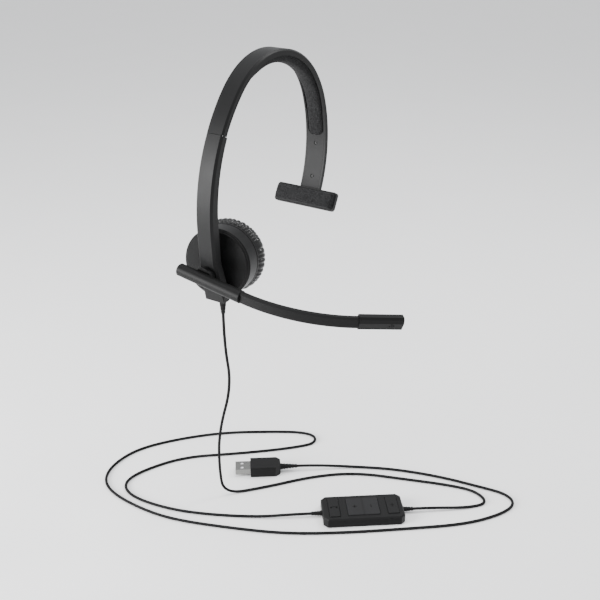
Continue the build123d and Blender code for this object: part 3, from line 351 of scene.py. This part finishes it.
REMOTE_CENTRE = (-0.0269, -0.0999, DESK)
REMOTE_TURN = math.radians(-51.4)
CREASE_PLACE, CREASE_WIDTH = 0.0002, 0.0014
rocker = Finish("rocker_plastic", {"Specular IOR Level": 0.16})
where = rocker.place()
from_centre = rocker.node(
    "ShaderNodeVectorMath", {"operation": "SUBTRACT"}, {0: where, 1: REMOTE_CENTRE}
)
heading = (math.cos(REMOTE_TURN), math.sin(REMOTE_TURN), 0.0)
along = rocker.node(
    "ShaderNodeVectorMath", {"operation": "DOT_PRODUCT"}, {0: from_centre, 1: heading}, 1
)
off_crease = rocker.ramp(rocker.maths("ABSOLUTE", along - CREASE_PLACE), 0.0, CREASE_WIDTH)
patches = rocker.noise(where, 55.0, 4.0, 0.6)
rocker.feed("Roughness", 0.36 + 0.12 * patches)
# The base colour darkens towards the crease: painted shade in the fold between the two slopes, over
# random patches of tone.
rocker.feed("Base Color", rocker.tint(
    0.5 * patches + 0.5 * off_crease, (0.006, 0.006, 0.006), (0.015, 0.015, 0.016)
))
rocker.emboss(off_crease + 0.06 * rocker.noise(where, 3200.0, 2.0), 0.00025, 0.7)
rocker.onto("volume_key")

# ------------------------------------------------------------------ woven screens
# Fine black acoustic cloth is welded behind the microphone's ports and over the speaker.

weave = Finish("acoustic_cloth", {"Specular IOR Level": 0.25, "Roughness": 0.85})
where = weave.place()
thread = weave.node("ShaderNodeTexVoronoi", {"feature": "F1"}, {"Vector": where, "Scale": 1900.0})
weave.feed("Base Color", weave.tint(
    weave.ramp(thread, 0.0, 0.7), (0.022, 0.022, 0.023), (0.003, 0.003, 0.003)
))
weave.emboss(1 - thread, 0.0002, 0.9)
weave.onto("cup_scrim", "mic_screens")

# ------------------------------------------------------------------ the headband pad
# A strip of soft foam under a fine speckled knit, stuck to the liner. It is thickest on the crown,
# thins towards both ends, and its ends are cut round.


def foam_block(cuts_along, cuts_across, cuts_deep):
    """A closed block from -1 to 1 each way, cut into small faces."""
    block = bmesh.new()
    bmesh.ops.create_cube(block, size=2.0)
    for axis, cuts in enumerate((cuts_along, cuts_across, cuts_deep)):
        ways = [e for e in block.edges if abs(e.verts[0].co[axis] - e.verts[1].co[axis]) > 0.001]
        bmesh.ops.subdivide_edges(block, edges=ways, cuts=cuts, use_grid_fill=True)
    return block


def finished(block, name, skin, body, slot, *nodes):
    """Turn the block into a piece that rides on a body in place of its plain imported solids."""
    bmesh.ops.recalc_face_normals(block, faces=block.faces)
    for face in block.faces:
        face.smooth = True
    mesh = bpy.data.meshes.new(name)
    block.to_mesh(mesh)
    block.free()
    mesh.materials.append(skin.material)
    piece = bpy.data.objects.new(name, mesh)
    bpy.context.collection.objects.link(piece)
    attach(piece, body)
    if nodes:
        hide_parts(*nodes)
    return piece


def round_end(left, half, corner):
    """Half width of a strip whose corner is round, at a distance from its end."""
    if left >= corner:
        return half
    return half - corner + math.sqrt(max(corner ** 2 - (corner - left) ** 2, 0))


def soften(across, up, round_off=0.42):
    """Round the upper corners of a square section: across is -1 to 1, and up is 0 to 1."""
    return across * math.sqrt(1 - round_off * up ** 2), up * math.sqrt(1 - round_off * across ** 2)


CROWN = (0.0, -0.0513, 0.0613)      # an arc: centre x, centre z, radius of the outer face
LEG_JOIN, TEMPLE_JOIN = -47.0, 71.5


def joined_arc(angle, radius):
    """An arc that runs on smoothly from the crown's at an angle from the top."""
    x, z, crown_radius = CROWN
    turn = math.radians(angle)
    apart = crown_radius - radius
    return x + apart * math.sin(turn), z + apart * math.cos(turn), radius


LEG = joined_arc(LEG_JOIN, 0.126)
TEMPLE = joined_arc(TEMPLE_JOIN, 0.102)


def on_the_arch(angle, depth):
    """The x and z of a point at a depth under the band's outer face."""
    x, z, radius = LEG if angle <= LEG_JOIN else CROWN if angle <= TEMPLE_JOIN else TEMPLE
    turn = math.radians(angle)
    return x + (radius - depth) * math.sin(turn), z + (radius - depth) * math.cos(turn)


knit = Finish("pad_knit", {
    "Specular IOR Level": 0.08, "Sheen Weight": 0.03, "Sheen Roughness": 0.5, "Roughness": 0.92,
})
where = knit.place()
loops = knit.node("ShaderNodeTexVoronoi", {"feature": "F1"}, {"Vector": where, "Scale": 1150.0})
fleck = knit.noise(where, 1500.0, 3.0, 0.7)
bloom = knit.noise(where, 110.0, 3.0)
lit = knit.ramp(fleck, 0.40, 0.62)
knit.feed("Base Color", knit.tint(
    0.75 * lit + 0.25 * bloom, (0.002, 0.002, 0.002), (0.030, 0.030, 0.031)
))
knit.emboss(0.6 * (1 - loops) + 0.4 * fleck, 0.0005, 0.9)

PAD_START, PAD_END = -56.0, 89.3      # degrees from the top, towards the arm and the temple
PAD_SEAT = 0.00378                    # depth of the face that it is stuck to
PAD_TIP, PAD_FULL = 0.0063, 0.0101    # depth of its soft face, at an end and on the crown
PAD_RISES, PAD_FALLS = 36.0, 74.3     # degrees over which it thickens and thins
PAD_HALF, PAD_CORNER = 0.0064, 0.0046
PAD_INSET = 0.0019                    # from the band's edge
BAND_HALF, BAND_ARM_X, BAND_WIDENS = 0.0071, -0.0639, 0.01414
LEG_REACH, TEMPLE_REACH = 0.122, 0.098      # radius of each end's run


def limited(value):
    """The value, kept between 0 and 1."""
    return min(max(value, 0), 1)


pad = foam_block(190, 15, 5)
for vert in pad.verts:
    along, across, up = vert.co.x, vert.co.y, (vert.co.z + 1) / 2
    angle = PAD_START + (PAD_END - PAD_START) * (along + 1) / 2
    rise = limited((angle - PAD_START) / PAD_RISES) * limited((PAD_END - angle) / PAD_FALLS)
    rise = rise ** 2 * (3 - 2 * rise)
    thick = PAD_TIP - PAD_SEAT + (PAD_FULL - PAD_TIP) * rise
    left = min(
        math.radians(PAD_END - angle) * TEMPLE_REACH, math.radians(angle - PAD_START) * LEG_REACH
    )
    band_x, _ = on_the_arch(angle, 0)
    half = min(PAD_HALF, BAND_HALF + (band_x - BAND_ARM_X) * BAND_WIDENS - PAD_INSET)
    half = round_end(left, half, PAD_CORNER)
    across, up = soften(across, up)
    x, z = on_the_arch(angle, PAD_SEAT + thick * up)
    vert.co = Vector((x, across * half, z))
bmesh.ops.remove_doubles(pad, verts=pad.verts, dist=0.00001)
band_pad = finished(pad, "band_pad", knit, "headband", "pad_fabric", "headband_pad")

# ------------------------------------------------------------------ the temple pad
# The same knit over thicker foam, set in the tray that crosses the end of the temple leg.

TRAY_ANGLE, TRAY_BACK = 118.2, 0.0049236      # where the tray's back sits on the arch
TEMPLE_HALF_LONG, TEMPLE_HALF_WIDE, TEMPLE_CORNER = 0.0259, 0.0062, 0.0014
TEMPLE_SEAT, TEMPLE_THICK = 0.0018, 0.0058
tray_x, tray_z = on_the_arch(TRAY_ANGLE, TRAY_BACK)
ON_TRAY = (
    Matrix.Translation((tray_x, 0, tray_z))
    @ Matrix.Rotation(math.radians(TRAY_ANGLE), 4, "Y")
    @ Matrix.Rotation(math.pi, 4, "X")
)
pad = foam_block(70, 22, 8)
for vert in pad.verts:
    along, across, up = vert.co.x, vert.co.y, (vert.co.z + 1) / 2
    half = round_end((1 - abs(along)) * TEMPLE_HALF_LONG, TEMPLE_HALF_WIDE, TEMPLE_CORNER)
    across, up = soften(across, up, 0.22)
    crown = 1 - 0.10 * abs(along) ** 4
    shrink = 1 - 0.05 * up ** 2
    vert.co = ON_TRAY @ Vector((
        across * half, along * TEMPLE_HALF_LONG * shrink, TEMPLE_SEAT + TEMPLE_THICK * up * crown,
    ))
bmesh.ops.remove_doubles(pad, verts=pad.verts, dist=0.00001)
temple_pad = finished(pad, "temple_cushion", knit, "headband", "pad_fabric", "temple_pad")

# ------------------------------------------------------------------ the ear cushion
# A ring of foam in soft black leatherette. The skin is drawn round both edges of the mounting
# plate, which gathers it into radial pleats. It is blown up as cloth, and its back is held.

CUP_CENTRE = (-0.0602, 0.0025, -0.1290)
CUP_YAW, CUP_TILT = math.radians(13), math.radians(4)
FACING_THE_EAR = Matrix(((0, 0, 1, 0), (1, 0, 0, 0), (0, 1, 0, 0), (0, 0, 0, 1)))
ON_CUP = (
    Matrix.Translation(CUP_CENTRE) @ Matrix.Rotation(CUP_YAW, 4, "Z")
    @ Matrix.Rotation(CUP_TILT, 4, "Y") @ FACING_THE_EAR
)
CUSHION_BACK, CUSHION_DEEP, CUSHION_OUT, CUSHION_IN = 0.01190, 0.0110, 0.0264, 0.0137
HELD_DEPTH = 0.0013           # of the back, where the plate holds it
LARGEST_MOVE = 0.0008         # of any point, when it is blown up
CLOTH_SCALE = 20.0            # cloth settles better at this many times its size
CLOTH_STEPS = 20
PLEATS = 24

leather = Finish("soft_leatherette", {"Specular IOR Level": 0.40})
where = leather.place()
crease = leather.node("ShaderNodeTexVoronoi", {"feature": "F1"}, {"Vector": where, "Scale": 900.0})
broad = leather.noise(where, 120.0, 3.0)
leather.feed("Roughness", 0.20 + 0.10 * broad)
leather.feed("Base Color", leather.tint(broad, (0.003, 0.003, 0.003), (0.006, 0.006, 0.006)))
leather.emboss(0.7 * crease + 0.3 * leather.noise(where, 2400.0, 2.0), 0.00008, 0.6)

ring = bmesh.new()
bmesh.ops.create_circle(ring, segments=30, radius=1.0)
bmesh.ops.rotate(ring, matrix=Matrix.Rotation(math.radians(90), 3, "X"), verts=ring.verts)
middle, half = (CUSHION_OUT + CUSHION_IN) / 2, (CUSHION_OUT - CUSHION_IN) / 2
# The section is a little squarer than a circle, so that the face and the sides are fuller.
for vert in ring.verts:
    square = 1 + 0.10 * (4 * vert.co.x ** 2 * vert.co.z ** 2)
    vert.co = Vector((
        middle + half * vert.co.x * square * 0.97, 0,
        CUSHION_BACK + CUSHION_DEEP / 2 * (1 + vert.co.z * square * 0.96),
    ))
bmesh.ops.spin(
    ring, geom=ring.verts[:] + ring.edges[:], cent=(0, 0, 0), axis=(0, 0, 1),
    angle=2 * math.pi, steps=348, use_merge=True,
)
bmesh.ops.remove_doubles(ring, verts=ring.verts, dist=0.00001)

# The gathers are uneven: slow waves round the ring crowd some pleats and spread others.
drift = [
    (count, random.uniform(0, 2 * math.pi), size)
    for count, size in ((2, 1.3), (5, 1.0), (9, 0.6))
]
for vert in ring.verts:
    turn = math.atan2(vert.co.y, vert.co.x)
    out = Vector((vert.co.x, vert.co.y, 0)).normalized()
    wander = PLEATS * turn
    wander += sum(size * math.sin(count * turn + start) for count, start, size in drift)
    fold = (1 - abs(math.sin(wander))) ** 1.2
    unevenness = math.sin(7 * turn + drift[0][1]) * math.sin(11 * turn + drift[1][1])
    deep = 0.0005 + 0.00035 * unevenness
    across = (math.hypot(vert.co.x, vert.co.y) - middle) / half
    side = min(1.0, abs(across)) ** 3
    vert.co -= out * (math.copysign(deep, across) * 2.0 * fold * side)
bmesh.ops.scale(ring, vec=(CLOTH_SCALE,) * 3, verts=ring.verts)
bmesh.ops.recalc_face_normals(ring, faces=ring.faces)
ring_mesh = bpy.data.meshes.new("ring")
ring.to_mesh(ring_mesh)
ring.free()
blown = bpy.data.objects.new("ring", ring_mesh)
bpy.context.collection.objects.link(blown)
held = blown.vertex_groups.new(name="held")
back = (CUSHION_BACK + HELD_DEPTH) * CLOTH_SCALE
held.add([v.index for v in ring_mesh.vertices if v.co.z < back], 1.0, "REPLACE")
start_places = [v.co.copy() for v in ring_mesh.vertices]
cloth = blown.modifiers.new("skin", "CLOTH")
cloth.settings.vertex_group_mass = "held"
cloth.settings.use_pressure = True
cloth.settings.uniform_pressure_force = 4.0
cloth.settings.shrink_min = -0.05
cloth.settings.bending_stiffness = 0.3
cloth.settings.effector_weights.gravity = 0
cloth.point_cache.frame_start = 1
cloth.point_cache.frame_end = CLOTH_STEPS
for step in range(1, CLOTH_STEPS + 1):
    bpy.context.scene.frame_set(step)
settled = blown.evaluated_get(bpy.context.evaluated_depsgraph_get()).to_mesh()
after = [v.co.copy() for v in settled.vertices]
blown.modifiers.clear()
furthest = LARGEST_MOVE * CLOTH_SCALE
for vert, first, last in zip(ring_mesh.vertices, start_places, after):
    move = last - first
    if move.length > furthest:
        move *= furthest / move.length
    vert.co = first + move
bpy.context.scene.frame_set(1)
ring = bmesh.new()
ring.from_mesh(ring_mesh)
bmesh.ops.transform(ring, matrix=ON_CUP @ Matrix.Scale(1 / CLOTH_SCALE, 4), verts=ring.verts)
bpy.data.objects.remove(blown)
bpy.data.meshes.remove(ring_mesh)
cushion = finished(ring, "leather_cushion", leather, "ear_cup", "cushion_leather", "ear_cushion")
cushion.modifiers.new("smooth", "SUBSURF").levels = 1
cushion.modifiers["smooth"].render_levels = 1

# ------------------------------------------------------------------ signs on the keys
# Thin flat signs lie on the keys' tops, darker than them: their dark colour is painted shade
# standing in for signs sunk into the real keys. A handset is on the call key, a plus and a minus on
# the rocker, and a microphone on the mute key.

KEY_TOP = 0.0077
SIGN_HIGH = 0.00006
ON_REMOTE = Matrix.Translation(REMOTE_CENTRE) @ Matrix.Rotation(REMOTE_TURN, 4, "Z")
sign_shade_paint = Finish("sunk_sign", {"Specular IOR Level": 0.2})
where = sign_shade_paint.place()
sign_shade_paint.feed("Roughness", 0.7 + 0.2 * sign_shade_paint.noise(where, 800.0))
# Painted shade: a near-black colour stands for the shade inside the sunk signs, with random noise in
# its tone.
sign_shade_paint.feed("Base Color", sign_shade_paint.tint(
    sign_shade_paint.noise(where, 500.0), (0.0015, 0.0015, 0.0015), (0.004, 0.004, 0.004)
))


def bar(sign, x, y, long, wide, turned=0.0):
    """A flat bar with rounded corners on the sign."""
    before = set(sign.verts)
    made = bmesh.ops.create_cube(sign, size=1.0)["verts"]
    bmesh.ops.scale(sign, vec=(long, wide, SIGN_HIGH), verts=made)
    corners = {
        e for v in made for e in v.link_edges
        if abs(e.verts[0].co.z - e.verts[1].co.z) > SIGN_HIGH / 2
    }
    bmesh.ops.bevel(
        sign, geom=list(corners), offset=min(long, wide) * 0.42, segments=3, affect="EDGES",
        profile=0.5, material=-1,
    )
    body = [v for v in sign.verts if v not in before]
    bmesh.ops.rotate(sign, matrix=Matrix.Rotation(turned, 3, "Z"), verts=body)
    bmesh.ops.translate(sign, vec=(x, y, 0), verts=body)


def bow(sign, x, y, radius, wide, start, sweep):
    """A flat strip bent round a centre: a small upright face is spun about it."""
    before = set(sign.verts)
    made = bmesh.ops.create_grid(sign, x_segments=1, y_segments=1, size=0.5)["verts"]
    bmesh.ops.scale(sign, vec=(wide, SIGN_HIGH, 1), verts=made)
    bmesh.ops.rotate(sign, matrix=Matrix.Rotation(math.radians(90), 3, "X"), verts=made)
    bmesh.ops.translate(sign, vec=(radius, 0, 0), verts=made)
    bmesh.ops.rotate(sign, matrix=Matrix.Rotation(start, 3, "Z"), verts=made)
    face = made[0].link_faces[0]
    bmesh.ops.spin(
        sign, geom=[face, *face.edges, *made], cent=(0, 0, 0), axis=(0, 0, 1), angle=sweep,
        steps=12, use_merge=False,
    )
    body = [v for v in sign.verts if v not in before]
    bmesh.ops.translate(sign, vec=(x, y, 0), verts=body)


def sign_on_key(name, sign, body, slot_name, x, y):
    """Set a sign on a key's top, at a place measured from the remote's middle."""
    on_key = Matrix.Translation((x, y, KEY_TOP + SIGN_HIGH / 2))
    bmesh.ops.transform(sign, matrix=ON_REMOTE @ on_key, verts=sign.verts)
    finished(sign, name, sign_shade_paint, body, slot_name)


handset = bmesh.new()
bow(handset, 0.0, -0.0017, 0.0026, 0.0009, math.radians(25), math.radians(130))
bar(handset, -0.0022, -0.0002, 0.0016, 0.0013, math.radians(-50))
bar(handset, 0.0022, -0.0002, 0.0016, 0.0013, math.radians(50))
sign_on_key("handset_sign", handset, "call_button", "key_plastic", -0.0217, 0.0)

plus = bmesh.new()
bar(plus, 0.0, 0.0, 0.0034, 0.0007)
bar(plus, 0.0, 0.0, 0.0007, 0.0034)
sign_on_key("plus_sign", plus, "volume_button", "key_plastic", -0.0060, 0.0)

minus = bmesh.new()
bar(minus, 0.0, 0.0, 0.0007, 0.0034)
sign_on_key("minus_sign", minus, "volume_button", "key_plastic", 0.0064, 0.0)

voice = bmesh.new()
bar(voice, 0.0, 0.0007, 0.0012, 0.0024)
bow(voice, 0.0, 0.0004, 0.0013, 0.0004, math.radians(180), math.radians(180))
bar(voice, 0.0, -0.0014, 0.0004, 0.0010)
bar(voice, 0.0, -0.0019, 0.0016, 0.0004)
sign_on_key("voice_sign", voice, "mute_button", "key_plastic", 0.0224, 0.0)

# ------------------------------------------------------------------ finishing
size = {
    "cad": [list(corner) for corner in cad_box],
    "visual": [list(corner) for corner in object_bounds()],
}
